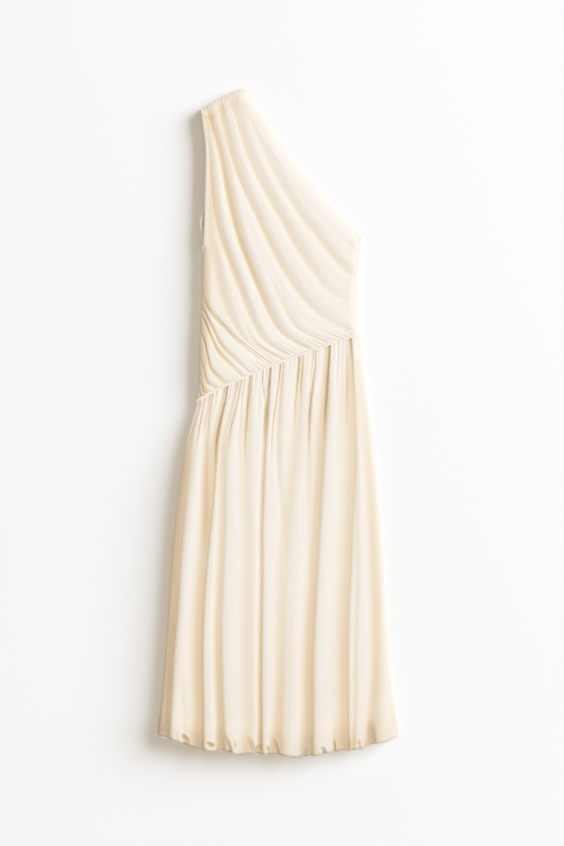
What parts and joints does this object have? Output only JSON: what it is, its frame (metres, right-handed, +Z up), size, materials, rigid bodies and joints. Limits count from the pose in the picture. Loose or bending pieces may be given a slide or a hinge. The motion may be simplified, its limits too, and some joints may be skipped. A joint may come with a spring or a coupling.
{
  "type": "one-shoulder dress",
  "caption": "Long one-shoulder dress in draped cream jersey, gathered at a slanting waist seam, with a blown, turned-in hem, laid flat front up.",
  "frame": {"origin": "on the surface the dress lies on, below the centre of its laid outline", "axes": "+Y from the hem to the shoulder, +X to the right as seen from above the front, +Z up from the surface out of the front"},
  "size_m": [0.4598, 1.2736, 0.0198],
  "materials": {
    "jersey": "soft matt viscose jersey with a faint sheen, warm cream"
  },
  "bodies": {
    "root": {"bodice_front": "jersey", "bodice_back": "jersey", "skirt_front": "jersey", "skirt_back": "jersey", "waist_seam_front": "jersey", "waist_seam_back": "jersey"}
  },
  "joints": []
}
